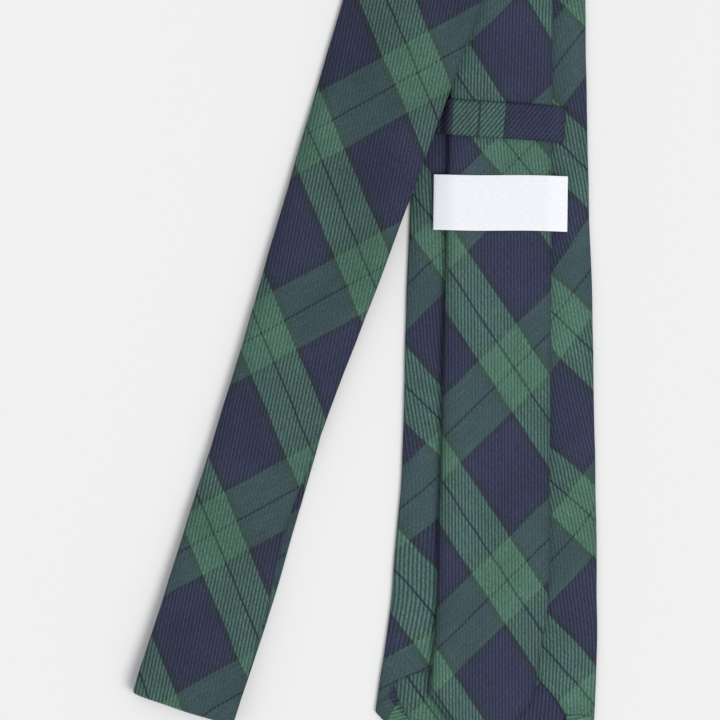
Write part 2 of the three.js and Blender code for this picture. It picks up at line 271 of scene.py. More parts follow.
# and along the diagonal seams between the shell's panels
PANEL_LEAN = [
    (BLADE_NECK_SEAM - 45, 0), (BLADE_NECK_SEAM, SEAM_LEAN), (BLADE_NECK_SEAM + 45, 0),
    (NECK_TAIL_SEAM - 26, 0), (NECK_TAIL_SEAM, SEAM_LEAN), (NECK_TAIL_SEAM + 45, 0),
]


# ---- the tartan's grain ----------------------------------------------------------------------
# A panel's cloth coordinates are the distances across its warp bands and across its weft bands,
# counted from the middle of one green band, in millimetres.

WARP_REPEAT = 42.1
WEFT_REPEAT = 52.5
YARN_ANGLE = 84.35  # between warp and weft: the bias has pulled them a little out of square


class Grain:
    """How a panel was cut: the angles of its warp and weft to the strip, and where the middles
    of one warp band and one weft band pass, at origin on the middle line."""

    def __init__(self, warp_turn, weft_turn, warp_start, weft_start, origin, weft_repeat):
        warp, weft = math.radians(warp_turn), math.radians(weft_turn)
        self.warp = (-math.sin(warp), math.cos(warp))
        self.weft = (-math.sin(weft), math.cos(weft))
        self.starts = (warp_start, weft_start)
        self.origin = origin
        self.weft_scale = WEFT_REPEAT / weft_repeat

    def at(self, s, e):
        d = s - self.origin
        u = self.warp[0] * d + self.warp[1] * e - self.starts[0]
        v = self.weft[0] * d + self.weft[1] * e - self.starts[1]
        return u, v * self.weft_scale


BLADE_GRAIN = Grain(40.7, -43.65, 2.9, 47.1, S_TOP, WEFT_REPEAT)
NECK_GRAIN = Grain(38.0, -44.0, 12.0, 8.0, BLADE_NECK_SEAM, WEFT_REPEAT)
TAIL_GRAIN = Grain(34.4, -44.5, 3.1, 12.6, S_INNER, 50.2)
# shifts that bring the bands to their places along the wide end
WARP_EASE = [(60, -0.7), (110, -0.7), (150, -2.9), (230, -1.5), (S_TOP, 0)]
WEFT_EASE = [(46, -2.8), (57, -0.4), (75, 1.5), (100, 3.1), (268, 0)]
# and along the narrow end near the keeper
TAIL_EASE = [
    (S_INNER + 60, 0), (S_INNER + 110, 2.0), (S_INNER + 133, 3.1), (S_INNER + 152, 1.4),
    (S_INNER + 162, 0),
]
RIGHT_FLAP_SKEW = 0.085
LEFT_FLAP_SKEW = [(105, 0.25), (165, 0)]
# painted shade: the arm and the layer under it are painted darker than the rest
PAINTED_ARM_SHADE = [(S_TOP - 4, 1), (S_TOP + 8, 0.86), (S_INNER - 4, 0.86), (S_INNER + 4, 1)]


def blade_cloth(s, e, beyond):
    """beyond is the distance past the nearer edge, negative past the left one."""
    right = np.maximum(beyond, 0) * (s < S_TOP)
    u, v = BLADE_GRAIN.at(s + RIGHT_FLAP_SKEW * right, e)
    u = u + np.interp(s, *np.array(WARP_EASE).T)
    u = u + np.interp(s, *np.array(LEFT_FLAP_SKEW).T) * np.maximum(-beyond, 0)
    return u, v + np.interp(s, *np.array(WEFT_EASE).T)


def neck_cloth(s, e, beyond):
    return NECK_GRAIN.at(s, e)


def tail_cloth(s, e, beyond):
    u, v = TAIL_GRAIN.at(s, e)
    return u + np.interp(s, *np.array(TAIL_EASE).T), v


# ---- the strip's section ---------------------------------------------------------------------

# how far the rolled edges sink towards the table: -1 to the tie's front, +1 to its back
EDGE_SAG = [
    (S_TOP - 25, -0.9), (S_TOP - 6, 0), (S_TOP + 6, 0), (S_TOP + 25, 0.9), (S_NECK - 20, 0.9),
    (S_NECK - 4, 0), (S_NECK + 4, 0), (S_NECK + 20, -0.9), (S_INNER - 12, -0.9), (S_INNER, 0),
    (S_INNER + 12, 0.2),
]
SWELL = 3.0
FLAP_COLUMNS = 16
ROLL_COLUMNS = 9
FRONT_COLUMNS = 34


def flap_gap(s, side):
    """Distance from the middle line to the edge of the flap on that side."""
    wide = s < (S_TOP + S_NECK) / 2
    table = RIGHT_FLAP if side > 0 else LEFT_FLAP
    gap = np.where(wide, eased(table, s, 1.2), eased(NARROW_FLAP, S_END - s, 2.5))
    shoulder = np.where(wide, s < POINT_LENGTH, S_END - s < NARROW_POINT_LENGTH)
    hem = half_width(s) - HEM
    return np.where(shoulder, np.maximum(hem, 0.1), np.maximum(gap, 0.5))


def fullness(s):
    """The tie is thinner towards its two points, and closes round at the very tips."""
    from_end = np.minimum(s, S_END - s)
    slim = 0.74 + 0.26 * smooth_step(from_end, 20, 75)
    tip = np.clip(from_end / TIP_ROUND, 0.02, 1)
    pinch = 1 - 0.42 * np.exp(-(((s - S_INNER) / 12) ** 2))
    return slim * np.sqrt(1 - (1 - tip) ** 2) * pinch


def smooth_step(x, low, high):
    t = np.clip((x - low) / (high - low), 0, 1)
    return t * t * (3 - 2 * t)


def ripple(s, e, seed):
    """A slow unevenness of hand, about one millimetre high at one."""
    waves = [(31.0, 17.0, 0.35), (47.0, -23.0, 0.4), (19.0, 29.0, 0.15), (73.0, 41.0, 0.3)]
    total = 0
    for k, (along, across, share) in enumerate(waves):
        phase = seed * 2.4 + k * 1.7
        total = total + share * np.sin(2 * math.pi * (s / along + e / across) + phase)
    return total


def section(s, wall):
    """Columns of (across, height, cloth across, distance beyond the edge), going round the strip
    from the left flap's edge to the right flap's. wall is how far inside the outer surface."""
    s = s[:, None]
    half = half_width(s) * np.clip(np.minimum(s, S_END - s) / TIP_ROUND + 0.1, 0.1, 1)
    half = half + 0.16 * ripple(s, 0, 3) * smooth_step(np.minimum(s, S_END - s), 5, 40)
    height = thickness(s) / 2 * fullness(s)
    radius = np.minimum(edge_radius(s) * fullness(s), half * 0.6)
    inner = np.maximum(radius - wall, 0.05)
    sag = edge_sag(s) * (height - radius)
    roll = half - radius
    angle = np.linspace(math.pi / 2, -math.pi / 2, ROLL_COLUMNS + 2)[None, 1:-1]
    turned = (math.pi / 2 + angle) * radius
    beyond = np.maximum(angle * radius, 0)
    flaps = []
    for side in (-1, 1):
        gap = np.minimum(flap_gap(s, side), roll - 0.05)
        x = gap + (roll - gap) * np.linspace(0, 1, FLAP_COLUMNS)[None, :] ** 1.5
        back = raised(roll - x, radius + sag, height) - wall
        sink = FLAP_EDGE_DROP * smooth_step(np.minimum(s, S_END - s), 55, 75)
        back = back - sink * np.exp(-(x - gap) / 0.6)
        flaps.append(beside(
            (x, back, 2 * roll + math.pi * radius - x, half - x),
            (roll + inner * np.cos(angle), sag + inner * np.sin(angle), roll + turned, beyond),
        ))
    x = roll * np.linspace(-1, 1, FRONT_COLUMNS)[None, :]
    front = (x, wall - raised(roll - np.abs(x), radius - sag, height), x, 0 * x)
    left = [-flaps[0][0], flaps[0][1], -flaps[0][2], flaps[0][3]]
    right = [column[:, ::-1] for column in flaps[1]]
    return beside(left, front, right)


def raised(from_edge, low, height):
    """The soft swell of the section from its rolled edge to its full height."""
    return low + (height - low) * (1 - np.exp(-from_edge / SWELL))


def edge_radius(s):
    return np.interp(s, *np.array(EDGE_ROLL).T)


def edge_sag(s):
    return np.interp(s, *np.array(EDGE_SAG).T)


def beside(*blocks):
    """Blocks of columns set next to each other."""
    rows = max(len(column) for column in blocks[0])
    return [
        np.concatenate([np.broadcast_to(c, (rows, c.shape[1])) for c in columns], axis=1)
        for columns in zip(*blocks)
    ]


def rows_between(start, end):
    """Row positions: close together at points, shoulders, tacks and folds."""
    at, rows = start, [start]
    marks = [
        0, POINT_LENGTH, WIDE_TACK, S_END, S_END - NARROW_POINT_LENGTH, S_END - NARROW_TACK,
    ]
    turns = [(t.at, t.half) for t in (OUTER_TURN, NECK_TURN, INNER_TURN)]
    while at < end - 0.3:
        step = 2.4
        near = min(abs(at - m) for m in marks)
        step = min(step, 0.35 + near * 0.12)
        for centre, half in turns:
            if abs(at - centre) < half + 1:
                step = min(step, half / 8)
        at += step
        rows.append(min(at, end))
    rows[-1] = end
    return np.array(rows)


def shell_surface(rows, cloth, wall):
    """Points and cloth coordinates of one face of a panel of the shell."""
    across, height, along_cloth, beyond = section(rows, wall)
    sigma = rows[:, None]
    e = middle(sigma) + across
    lean = eased(FOLD_LEAN, sigma, 2) * e + eased(PANEL_LEAN, sigma, 2) * along_cloth
    s = sigma + lean
    uneven = 0.1 * ripple(s, e, 1) * smooth_step(np.minimum(s, S_END - s), 4, 40)
    h = height + uneven
    side = np.sign(across)
    slope = edge_slope(s, side)
    hem = on_hem(s, across) & (beyond > 0)
    beta = np.arctan(np.where(hem, POINT_SLOPE, slope))
    extra = np.where(hem, POINT_TIP + POINT_SLOPE * s - np.abs(across) - beyond, 0)
    beyond = beyond + extra
    along_cloth = along_cloth + 2 * extra * side
    cloth_s = s - 2 * beyond * np.sin(beta) * np.cos(beta)
    trim = 2 * beyond * (1 - np.cos(beta) ** 2)
    cloth_e = middle(sigma) + along_cloth - side * trim
    u, v = cloth(cloth_s, cloth_e, beyond * side)
    points = place(s.ravel(), e.ravel(), h.ravel())
    return points, np.column_stack([u.ravel(), v.ravel()])


def edge_slope(s, side):
    """How fast the edge on that side spreads along the tie: locally at a point, and the general
    trend along the sides, because the cloth turned over them stays flat."""
    near = (s < POINT_LENGTH) | (s > S_END - NARROW_POINT_LENGTH)
    low = np.where(near, s - 0.5, np.maximum(s - 25, POINT_LENGTH))
    high = np.where(near, s + 0.5, np.minimum(s + 25, S_END - NARROW_POINT_LENGTH))
    spread = half_width(high) - half_width(low) + side * (middle(high) - middle(low))
    return spread / np.maximum(high - low, 1)


def on_hem(s, across):
    """Whether a place on the back belongs to the wide point's hem; the left one is mitred."""
    upper = np.interp(s, (POINT_LENGTH, MITRE[0]), (POINT_LENGTH, MITRE[1]))
    return (s < POINT_LENGTH) | ((across < 0) & (s < MITRE[0]) & (-across < upper))


# ---- making meshes ---------------------------------------------------------------------------


def grid_faces(rows, columns, start, flip):
    index = np.arange(rows * columns).reshape(rows, columns) + start
    quads = np.stack([index[:-1, :-1], index[1:, :-1], index[1:, 1:], index[:-1, 1:]], axis=-1)
    quads = quads.reshape(-1, 4)
    return quads[:, ::-1] if flip else quads


def rim_faces(rows, columns, inner_start):
    outer = np.arange(rows * columns).reshape(rows, columns)
    loop = np.concatenate([
        outer[0, :-1], outer[:-1, -1], outer[-1, :0:-1], outer[:0:-1, 0],
    ])
    following = np.roll(loop, -1)
    return np.stack([loop, following, following + inner_start, loop + inner_start], axis=-1)


def closed_sheet(name, outer, inner, shape, cloth, painted_shade=None):
    """A closed mesh between two grids of points, with cloth coordinates in its UV map."""
    rows, columns = shape
    count = rows * columns
    faces = np.concatenate([
        grid_faces(rows, columns, 0, False), grid_faces(rows, columns, count, True),
        rim_faces(rows, columns, count),
    ])
    vertices = np.concatenate([outer, inner])
    if signed_volume(vertices, faces) < 0:
        faces = faces[:, ::-1]
    return make_mesh(name, vertices, faces, np.concatenate([cloth, cloth]), painted_shade)


def signed_volume(vertices, faces):
    a, b, c, d = (vertices[faces[:, k]] for k in range(4))
    first = np.einsum("ij,ij->i", a, np.cross(b, c))
    second = np.einsum("ij,ij->i", a, np.cross(c, d))
    return float(np.sum(first + second))


def make_mesh(name, vertices, faces, cloth, painted_shade=None):
    mesh = bpy.data.meshes.new(name)
    mesh.from_pydata((vertices * MM).tolist(), [], faces.tolist())
    layer = mesh.uv_layers.new(name="cloth")
    corners = np.empty(len(mesh.loops), np.int32)
    mesh.loops.foreach_get("vertex_index", corners)
    layer.data.foreach_set("uv", cloth[corners].astype(np.float32).ravel())
    # painted shade for each vertex, 1 where none is painted
    values = np.ones(len(vertices)) if painted_shade is None else np.concatenate([painted_shade, painted_shade])
    mesh.attributes.new("painted_shade", "FLOAT", "POINT").data.foreach_set("value", values)
    mesh.polygons.foreach_set("use_smooth", np.ones(len(mesh.polygons), bool))
    mesh.set_sharp_from_angle(angle=math.radians(50))
    mesh.update()
    obj = bpy.data.objects.new(name, mesh)
    bpy.context.scene.collection.objects.link(obj)
    return obj


SHADE_REACH = 0.9  # how far in from an edge the painted shade fades
TAIL_SHADE_REACH = 1.7
EDGE_SHADE = 0.2
TAIL_LEFT_SHADE = 0.55
TAIL_RIGHT_SHADE = 0.4
FLAP_SHADE = 0.4


def edge_shade(rows, across):
    """Painted shade, which deepens the lamp's own: along the rolled edges, most on the narrow
    end's, and along the folded edges of the flaps."""
    inside = np.maximum(half_width(rows)[:, None] - np.abs(across), 0)
    on_tail = rows[:, None] > S_INNER
    left = across < 0
    depth = np.where(on_tail, np.where(left, TAIL_LEFT_SHADE, TAIL_RIGHT_SHADE), EDGE_SHADE)
    reach = np.where(on_tail & left, TAIL_SHADE_REACH, SHADE_REACH)
    shade = 1 - depth * np.exp(-inside / reach)
    for flap in (slice(0, FLAP_COLUMNS), slice(-1, -1 - FLAP_COLUMNS, -1)):
        x = np.abs(across[:, flap])
        shade[:, flap] *= 1 - FLAP_SHADE * np.exp((x[:, :1] - x) / SHADE_REACH)
    return shade


def shell(name, start, end, cloth, material):
    rows = rows_between(start, end)
    outer, coordinates = shell_surface(rows, cloth, 0.0)
    inner, _ = shell_surface(rows, cloth, WALL)
    across = section(rows, 0.0)[0]
    # painted shade: the arm darker all over, times the shade painted along the edges
    painted_shade = np.interp(rows, *np.array(PAINTED_ARM_SHADE).T)[:, None] * edge_shade(rows, across)
    obj = closed_sheet(name, outer, inner, across.shape, coordinates, painted_shade.ravel())
    obj.data.materials.append(material)
    return obj


# ---- sheets inside the strip -----------------------------------------------------------------

SHEET_COLUMNS = 26


def strip_sheet(name, start, end, inset, low, high, material, grain=None):
    """A flat sheet inside the shell, from low to high above the strip's middle surface."""
    rows = rows_between(start, end)[:, None]
    share = np.linspace(-1, 1, SHEET_COLUMNS)[None, :]
    room = np.maximum(half_width(rows) - inset, 0.4)
    e = middle(rows) + room * share
    s = rows + eased(FOLD_LEAN, rows, 2) * e
    scale = thickness(s) / BLADE_THICKNESS * fullness(s)
    wave = 0.06 * ripple(s, e, 5)
    edge = np.exp((np.abs(share) * room - half_width(rows) + edge_radius(rows)) / SWELL)
    sag = edge_sag(rows) * (thickness(s) / 2 * fullness(s) - edge_radius(rows)) * edge
    faces = []
    for h in (high, low):
        level = (h + wave) * scale * (1 - 0.45 * edge) + sag
        faces.append(place(s.ravel(), e.ravel(), np.broadcast_to(level, s.shape).ravel()))
    cloth = np.column_stack([s.ravel(), e.ravel()])
    if grain is not None:
        cloth = np.column_stack(grain(faces[0][:, 0], faces[0][:, 1]))
    obj = closed_sheet(name, faces[0], faces[1], (len(rows), SHEET_COLUMNS), cloth)
    obj.data.materials.append(material)
    return obj


def plan_grain(warp_angle, warp_scale, warp_point, weft_point):
    """Cloth lying face up: the angle of its warp bands in plan, how far they are compressed, and
    a point on the middle of one warp band and of one weft band."""
    warp = math.radians(warp_angle + 90)
    weft = warp - math.radians(YARN_ANGLE)

    def at(x, y):
        u = (x - warp_point[0]) * math.cos(warp) + (y - warp_point[1]) * math.sin(warp)
        u = u * warp_scale
        v = (x - weft_point[0]) * math.cos(weft) + (y - weft_point[1]) * math.sin(weft)
        return u, v

    return at


# ---- threads ---------------------------------------------------------------------------------


def tube(path, radius, sides=7):
    """Vertices, faces and (length, turn) coordinates of a thread along a path."""
    path = np.asarray(path, float)
    ahead = np.gradient(path, axis=0)
    ahead /= np.linalg.norm(ahead, axis=1)[:, None]
    up = np.array([0.0, 0.0, 1.0])
    side = np.cross(ahead, up + ahead * 0.01)
    side /= np.maximum(np.linalg.norm(side, axis=1), 1e-9)[:, None]
    over = np.cross(side, ahead)
    travel = np.concatenate([[0], np.cumsum(np.linalg.norm(np.diff(path, axis=0), axis=1))])
    from_end = np.minimum(travel, travel[-1] - travel)
    r = radius * np.sqrt(np.clip(from_end / radius, 0.06, 1))[:, None, None]
    turn = np.linspace(0, 2 * math.pi, sides, endpoint=False)
    ring = side[:, None] * np.cos(turn)[None, :, None] + over[:, None] * np.sin(turn)[None, :, None]
    points = (path[:, None] + ring * r).reshape(-1, 3)
    faces = []
    for i in range(len(path) - 1):
        for k in range(sides):
            a, b = i * sides + k, i * sides + (k + 1) % sides
            faces.append((a, b, b + sides, a + sides))
    caps = [tuple(range(sides))[::-1], tuple(range(len(points) - sides, len(points)))]
    where = np.column_stack([np.repeat(travel, sides), np.tile(turn, len(path))])
    return points, faces, caps, where


def threads(name, paths, radius, material):
    """One piece made of several short lengths of thread."""
    points, faces, where, start = [], [], [], 0
    for path in paths:
        p, quads, caps, w = tube(path, radius)
        points.append(p)
        where.append(w)
        faces += [tuple(start + i for i in face) for face in [*quads, *caps]]
        start += len(p)
    mesh = bpy.data.meshes.new(name)
    mesh.from_pydata((np.concatenate(points) * MM).tolist(), [], faces)
    layer = mesh.uv_layers.new(name="cloth")
    corners = np.empty(len(mesh.loops), np.int32)
    mesh.loops.foreach_get("vertex_index", corners)
    layer.data.foreach_set("uv", np.concatenate(where)[corners].astype(np.float32).ravel())
    mesh.polygons.foreach_set("use_smooth", np.ones(len(mesh.polygons), bool))
    mesh.update()
    obj = bpy.data.objects.new(name, mesh)
    bpy.context.scene.collection.objects.link(obj)
    obj.data.materials.append(material)
    return obj


SLIP_PITCH = 7.5
SLIP_RADIUS = 0.16
TACK_TURNS = 5
TACK_REACH = 2.5
TACK_PITCH = 0.34
TACK_POINTS = 15
TACK_RADIUS = 0.17


def slip_stitch(name, start, end, material):
    """The long thread that holds the two flaps together, crossing from one to the other."""
    s = np.arange(start, end, 0.8)
    cross = np.sin(2 * math.pi * s / SLIP_PITCH)
    e = middle(s) + 0.5 * cross
    h = thickness(s) / 2 - 0.55 + 0.16 * np.abs(cross)
    return threads(name, [place(s, e, h)], SLIP_RADIUS, material)


def bar_tack(name, s_at, material):
    """A few close turns of thread across the back seam."""
    paths = []
    for k in range(TACK_TURNS):
        share = np.linspace(-1, 1, TACK_POINTS)
        e = TACK_REACH * share + 0.12 * math.sin(k * 2.1)
        bow = 1 - np.abs(share) ** 4
        s = np.full(TACK_POINTS, s_at + TACK_PITCH * k)
        h = thickness(s) / 2 * fullness(s) - 0.25 + 0.5 * bow
        paths.append(place(s, middle(s) + e, h))
    return threads(name, paths, TACK_RADIUS, material)


# ---- straps across the tie -------------------------------------------------------------------

SEAT = BLADE_THICKNESS + 0.25
OVER_TAIL = TAIL_TOP + 0.25
STRAP_ROWS = 121
STRAP_COLUMNS = 27
STRAP_SHADE = 0.5  # painted shade at the rim of a strap
STRAP_SHADE_REACH = 0.4
STITCH_POINTS = 9


def strap_height(x, bridge, run):
    return SEAT + (OVER_TAIL - SEAT) * (1 - smooth_step(np.abs(x), bridge, bridge + run))


def on_strap(spec, x, y, z):
    """Points of a strap's own frame, x along it, in the tie's frame."""
    turn = math.radians(spec["turn"])
    c, s = math.cos(turn), math.sin(turn)
    return np.column_stack([spec["x"] + x * c - y * s, spec["y"] + x * s + y * c, z])


def strap(name, spec, arch, thick, bow, cloth, material, shade=1.0):
    """A soft band with rounded edges that arches over the narrow end and lies on the wide one."""
    half, reach = spec["width"] / 2, spec["length"] / 2
    x = np.linspace(-reach, reach, STRAP_ROWS)[:, None]
    y = half * np.sin(np.linspace(-math.pi / 2, math.pi / 2, STRAP_COLUMNS))[None, :]
    rim = np.sqrt(np.clip(1 - np.abs(y / half) ** 8, 0.02, 1))
    end = np.sqrt(np.clip(1 - np.abs(x / reach) ** 60, 0.05, 1))
    level = strap_height(x, *arch) + bow(x, y)
    top = level + thick * (0.5 + 0.5 * rim * end)
    bottom = level + thick * (0.5 - 0.5 * rim * end)
    xs, ys = np.broadcast_arrays(x, y)
    shape = xs.shape
    xs, ys = xs.ravel(), ys.ravel() + 0.12 * np.sin(xs.ravel() / 6.1)
    faces = [on_strap(spec, xs, ys, np.broadcast_to(z, shape).ravel()) for z in (top, bottom)]
    inside = np.minimum(reach - np.abs(x), half - np.abs(y)).ravel()
    # painted shade: darker along the strap's rim, and all over by the strap's shade
    painted_shade = shade * (1 - STRAP_SHADE * np.exp(-inside / STRAP_SHADE_REACH))
    obj = closed_sheet(name, *faces, shape, np.column_stack(cloth(xs, ys)), painted_shade)
    obj.data.materials.append(material)
    return obj


def strap_stitches(name, spec, arch, side, thick, sewn, material):
    """A short row of stitches along the end of a strap."""
    paths = []
    x = side * (spec["length"] / 2 - sewn["inset"])
    pitch = 2 * sewn["reach"] / sewn["count"]
    share = np.linspace(-1, 1, STITCH_POINTS)
    z = strap_height(x, *arch) + thick - 0.12 + 0.16 * (1 - np.abs(share) ** 3)
    for k in range(sewn["count"]):
        y = -sewn["reach"] + pitch * (k + 0.5) + 0.36 * pitch * share
        paths.append(on_strap(spec, np.full(STITCH_POINTS, x), y, z))
    return threads(name, paths, sewn["radius"], material)


# ---- materials -------------------------------------------------------------------------------


class Nodes:
    """Short words for building a node material."""

    def __init__(self, name):
        self.material = bpy.data.materials.new(name)
        self.material.use_nodes = True
        self.tree = self.material.node_tree
        self.shader = self.tree.nodes["Principled BSDF"]

    def add(self, kind, **settings):
        node = self.tree.nodes.new("ShaderNode" + kind)
        for key, value in settings.items():
            setattr(node, key, value)
        return node

    def wire(self, source, socket):
        if isinstance(source, bpy.types.NodeSocket):
            self.tree.links.new(source, socket)
        else:
            socket.default_value = source

    def math(self, operation, a, b=0.0, c=0.0):
        node = self.add("Math", operation=operation)
        for value, socket in zip((a, b, c), node.inputs):
            self.wire(value, socket)
        return node.outputs[0]

    def ramp(self, value, low, high, at_low=0.0, at_high=1.0):
        """value between low and high, eased and clamped, as at_low to at_high."""
        node = self.add("MapRange", interpolation_type="SMOOTHSTEP")
        for given, socket in zip((value, low, high, at_low, at_high), node.inputs):
            self.wire(given, socket)
        return node.outputs[0]

    def mix(self, share, a, b):
        node = self.add("Mix", data_type="RGBA")
        sockets = [node.inputs[0], node.inputs[6], node.inputs[7]]
        for given, socket in zip((share, a, b), sockets):
            self.wire(given, socket)
        return node.outputs[2]

    def scaled(self, colour, factor):
        node = self.add("VectorMath", operation="SCALE")
        self.wire(colour, node.inputs[0])
        self.wire(factor, node.inputs["Scale"])
        return node.outputs[0]

    def cloth(self):
        """The two cloth coordinates of the surface."""
        split = self.add("SeparateXYZ")
        self.wire(self.add("UVMap", uv_map="cloth").outputs[0], split.inputs[0])
        return split.outputs[0], split.outputs[1]

    def noise(self, x, y, detail=2.0):
        join = self.add("CombineXYZ")
        self.wire(x, join.inputs[0])
        self.wire(y, join.inputs[1])
        node = self.add("TexNoise", noise_dimensions="2D")
        self.wire(join.outputs[0], node.inputs["Vector"])
        node.inputs["Scale"].default_value = 1.0
        node.inputs["Detail"].default_value = detail
        return node.outputs[0]

    def bump(self, height, distance):
        node = self.add("Bump")
        node.inputs["Distance"].default_value = distance
        self.wire(height, node.inputs["Height"])
        self.wire(node.outputs[0], self.shader.inputs["Normal"])

    def finish(self, colour, roughness, sheen=0.0, sheen_roughness=0.5, specular=0.3):
        self.wire(colour, self.shader.inputs["Base Color"])
        self.wire(roughness, self.shader.inputs["Roughness"])
        self.shader.inputs["Specular IOR Level"].default_value = specular
        self.shader.inputs["Sheen Weight"].default_value = sheen
        self.shader.inputs["Sheen Roughness"].default_value = sheen_roughness
        return self.material


NAVY = (0.031, 0.038, 0.077, 1)
GREEN = (0.072, 0.158, 0.118, 1)
BLACK = (0.012, 0.024, 0.024, 1)
EDGE_BLACK = (0.026, 0.036, 0.042, 1)
WARP_HALF_BAND = 8.85
WEFT_HALF_BAND = 10.6
BAND_BORDER = 1.9
CENTRE_LINE = 0.34
WARP_PITCH = 0.39
WEFT_PITCH = 0.53
TWILL = 4


def band_colour(n, across, repeat, half_band):
    """Yarn colour of one set: navy, a green band edged in black, and its black centre line."""
    away = n.math("PINGPONG", across, repeat / 2)
    colour = n.mix(n.ramp(away, half_band + 0.15, half_band - 0.15), NAVY, GREEN)
    outside = n.ramp(away, half_band - 0.15, half_band + 0.15)
    inside = n.ramp(away, half_band + BAND_BORDER + 0.15, half_band + BAND_BORDER - 0.15)
    colour = n.mix(n.math("MULTIPLY", outside, inside), colour, EDGE_BLACK)
    return n.mix(n.ramp(away, CENTRE_LINE + 0.14, CENTRE_LINE - 0.14, 0, 0.9), colour, BLACK)


def tartan(name, shade=1.0):
    """Twill-woven tartan: warp and weft yarns of their own colours, crossing in steep ribs."""
    n = Nodes(name)
    u, v = n.cloth()
    wander = n.noise(n.math("MULTIPLY", u, 0.09), n.math("MULTIPLY", v, 0.09))
    drift = n.math("SUBTRACT", wander, 0.5)
    warp = band_colour(n, n.math("MULTIPLY_ADD", drift, 0.8, u), WARP_REPEAT, WARP_HALF_BAND)
    weft = band_colour(n, n.math("MULTIPLY_ADD", drift, -0.8, v), WEFT_REPEAT, WEFT_HALF_BAND)
    end = n.math("DIVIDE", u, WARP_PITCH)
    pick = n.math("DIVIDE", v, WEFT_PITCH)
    rib = n.math("DIVIDE", n.math("ADD", end, pick), TWILL)
    uneven = n.noise(n.math("MULTIPLY", u, 0.9), n.math("MULTIPLY", v, 0.9), 2.0)
    groove = n.math("PINGPONG", n.math("MULTIPLY_ADD", uneven, 0.34, rib), 0.5)
    on_top = n.ramp(groove, 0.38, 0.2)
    warp_streak = n.noise(n.math("MULTIPLY", end, 0.9), n.math("MULTIPLY", v, 0.12))
    weft_streak = n.noise(n.math("MULTIPLY", u, 0.12), n.math("MULTIPLY", pick, 0.9))
    warp = n.scaled(warp, n.ramp(warp_streak, 0.2, 0.8, 0.82, 1.18))
    weft = n.scaled(weft, n.ramp(weft_streak, 0.2, 0.8, 0.82, 1.18))
    colour = n.mix(n.math("MULTIPLY_ADD", on_top, 0.42, 0.36), weft, warp)
    yarn = n.math("COSINE", n.math("MULTIPLY", end, 2 * math.pi))
    cross = n.math("COSINE", n.math("MULTIPLY", pick, 2 * math.pi))
    fine = n.mix(on_top, cross, yarn)
    height = n.math("MULTIPLY_ADD", fine, 0.16, n.ramp(groove, 0.5, 0.04))
    # painted shade: the cloth is darker down in the grooves between its ribs
    light = n.ramp(height, -0.1, 1.1, 0.7 * shade, 1.2 * shade)
    patch = n.noise(n.math("MULTIPLY", u, 0.045), n.math("MULTIPLY", v, 0.045), 3.0)
    light = n.math("MULTIPLY", light, n.ramp(patch, 0.25, 0.75, 0.91, 1.08))
    fleck = n.noise(n.math("MULTIPLY", rib, 2.6), n.math("SUBTRACT", v, u), 2.0)
    light = n.math("MULTIPLY", light, n.ramp(fleck, 0.25, 0.75, 0.82, 1.18))
    light = n.math("MULTIPLY", light, n.ramp(fleck, 0.64, 0.76, 1.0, 1.25))
    # the painted shade stored on the mesh darkens the cloth
    light = n.math("MULTIPLY", light, n.add("Attribute", attribute_name="painted_shade").outputs["Fac"])
    n.bump(height, 0.00013)
    roughness = n.ramp(height, 0.0, 1.0, 0.9, 0.68)
    return n.finish(n.scaled(colour, light), roughness, 0.03, 0.45, 0.2)


def label_satin():
    n = Nodes("label_satin")
    x, y = n.cloth()
    floats = n.math("PINGPONG", n.math("MULTIPLY", y, 3.2), 0.5)
    ends = n.math("PINGPONG", n.math("MULTIPLY", x, 4.1), 0.5)
    height = n.math("MULTIPLY_ADD", ends, 0.3, floats)
    cloudy = n.noise(n.math("MULTIPLY", x, 0.5), n.math("MULTIPLY", y, 3.0))
    colour = n.mix(n.ramp(cloudy, 0.2, 0.8), (0.79, 0.80, 0.845, 1), (0.85, 0.86, 0.895, 1))
    # painted shade: a little darker where the weave lies low
    colour = n.scaled(colour, n.ramp(height, 0.0, 0.65, 0.95, 1.02))
    n.bump(height, 0.00004)
    return n.finish(colour, n.ramp(height, 0.0, 0.6, 0.62, 0.5), 0.1)


NAVY_YARN = (0.030, 0.034, 0.075)
WHITE_YARN = (0.8, 0.81, 0.85)


def thread_material(name, colour):
    """Twisted sewing thread: the plies run round the thread as they run along it."""
    n = Nodes(name)
    along, turn = n.cloth()
    ply = n.math("SINE", n.math("MULTIPLY_ADD", along, 9.0, n.math("MULTIPLY", turn, 2.0)))
    fuzz = n.noise(n.math("MULTIPLY", along, 3.0), turn)
    shade = n.math("MULTIPLY", n.ramp(ply, -1, 1, 0.65, 1.15), n.ramp(fuzz, 0.2, 0.8, 0.85, 1.15))
    n.bump(ply, 0.00003)
    return n.finish(n.scaled(colour, shade), n.ramp(ply, -1, 1, 0.75, 0.5), 0.1)


def interlining_material():
    """Off-white brushed canvas in a loose plain weave."""
    n = Nodes("interlining")
    x, y = n.cloth()
    ends = n.math("PINGPONG", n.math("MULTIPLY", x, 0.7), 0.5)
    picks = n.math("PINGPONG", n.math("MULTIPLY", y, 0.7), 0.5)
    height = n.math("MAXIMUM", ends, picks)
    hair = n.noise(n.math("MULTIPLY", x, 0.8), n.math("MULTIPLY", y, 2.5), 6.0)
    colour = n.mix(n.ramp(hair, 0.3, 0.7), (0.62, 0.57, 0.46, 1), (0.74, 0.70, 0.60, 1))
    n.bump(n.math("MULTIPLY_ADD", hair, 0.4, height), 0.0001)
    # painted shade: darker in the gaps between the yarns
    colour = n.scaled(colour, n.ramp(height, 0, 0.5, 0.8, 1.0))
    return n.finish(colour, n.ramp(hair, 0, 1, 0.95, 0.85))


# ---- camera, light and floor -----------------------------------------------------------------

VIEW_CENTRE = (-43.0, 121.4)
VIEW_WIDTH = 247.7
VIEW_LENS = 200.0
SENSOR = 36.0


